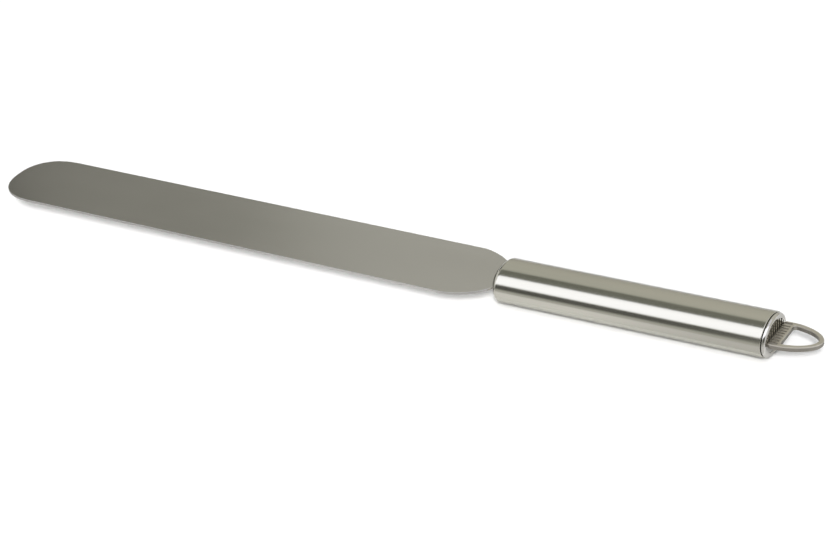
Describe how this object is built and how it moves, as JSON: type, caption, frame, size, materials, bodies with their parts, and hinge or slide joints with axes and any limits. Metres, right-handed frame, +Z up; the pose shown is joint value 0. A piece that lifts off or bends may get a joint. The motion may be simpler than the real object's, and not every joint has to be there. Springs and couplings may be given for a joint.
{
  "type": "straight spatula",
  "caption": "Straight pastry spatula with a long flat round-tipped steel blade, an oval brushed-steel tube handle with a domed front, and a slotted end cap that holds a flat hanging loop.",
  "frame": {"origin": "middle of the overall length and width, at the height of the handle's lowest line", "axes": "+X along the length, from the blade's tip towards the hanging loop; +Y across the blade; +Z up, square to the handle, whose axis the blade leaves with a rise of half a degree"},
  "size_m": [0.3974, 0.0378, 0.017],
  "materials": {
    "blade_steel": "satin, with fine grain along the blade",
    "tube_steel": "fine brushed along the handle",
    "cap_steel": "polished",
    "loop_steel": "cast, lightly polished",
    "pin_steel": "plain",
    "filler_plastic": "moulded, hidden inside the handle"
  },
  "bodies": {
    "root": {"blade": "blade_steel", "handle_tube": "tube_steel", "tang_filler_upper": "filler_plastic", "tang_filler_lower": "filler_plastic", "tang_rivet_front": "pin_steel", "tang_rivet_rear": "pin_steel", "end_cap": "cap_steel", "hanging_loop": "loop_steel", "loop_pin": "pin_steel"}
  },
  "joints": []
}
